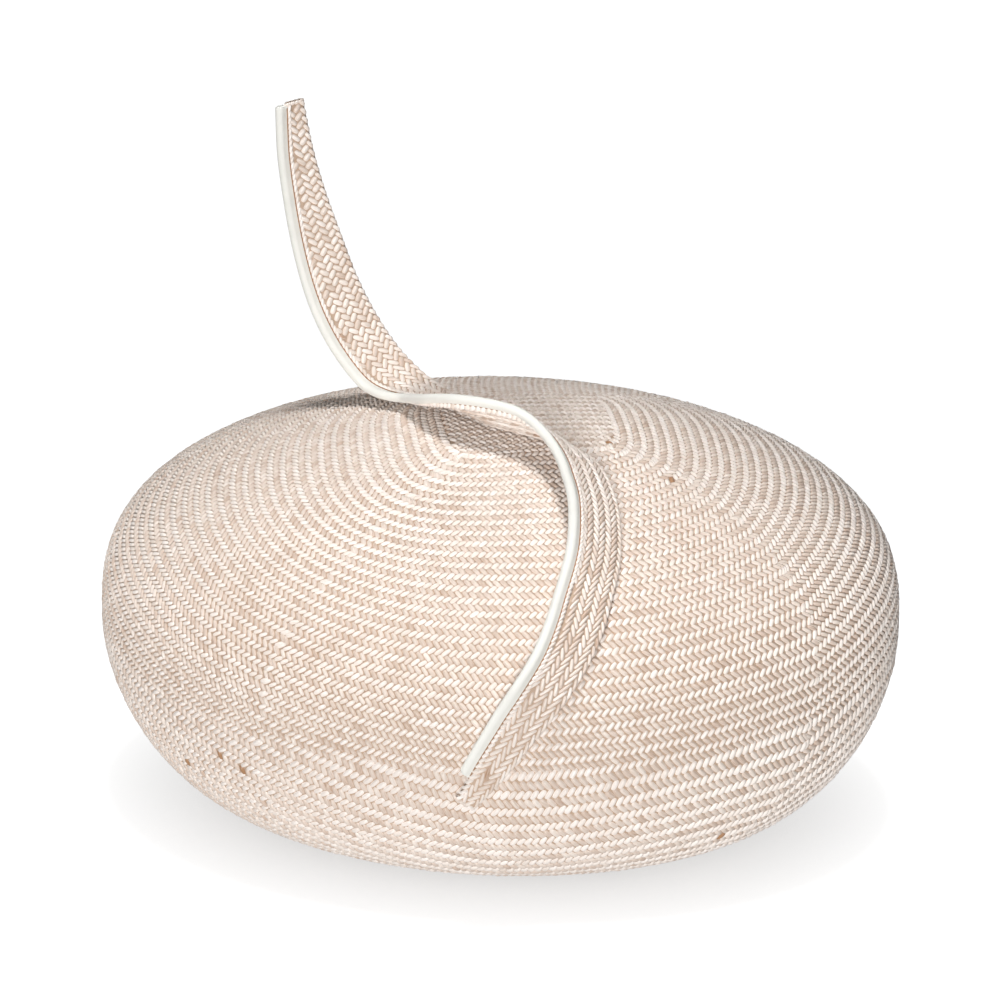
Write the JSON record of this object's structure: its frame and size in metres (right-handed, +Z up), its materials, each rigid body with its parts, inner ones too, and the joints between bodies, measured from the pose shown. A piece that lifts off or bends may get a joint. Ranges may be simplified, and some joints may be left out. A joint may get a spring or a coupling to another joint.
{
  "type": "fascinator headpiece",
  "caption": "Percher fascinator: oval woven-straw dome rolled under to a head opening, a twisted piped straw quill, ribbon band and a hinged hair comb inside.",
  "frame": {"origin": "centre of the head opening on the plane the hat rests on", "axes": "+Z up through the crown, -Y the front where the quill runs down, +X the wearer's left"},
  "size_m": [0.2602, 0.1982, 0.2173],
  "materials": {
    "straw": "woven parisisal straw, soft sheen",
    "piping": "off-white bias-cut cloth",
    "cord": "cotton filler cord",
    "petersham": "ribbed ribbon",
    "thread": "sewing thread",
    "steel_wire": "millinery wire",
    "comb_steel": "plated wire"
  },
  "bodies": {
    "hat": {"crown_shell": "straw", "edge_wire": "steel_wire", "wire_joiner": "steel_wire", "petersham_ribbon": "petersham", "comb_thread_loops": "thread", "elastic_loop_left": "petersham", "elastic_loop_right": "petersham", "quill_straw": "straw", "quill_wire": "steel_wire", "piping_cord": "cord", "piping_cover": "piping"},
    "comb": {"comb_hairpins": "comb_steel", "comb_spine": "comb_steel", "comb_binding": "comb_steel"}
  },
  "joints": [
    {"name": "comb_swing", "type": "hinge", "parent": "hat", "child": "comb", "pos_m": [0, -0.05476, 0.0085], "axis": [-1, 0, 0], "range_deg": [0, 97]}
  ]
}
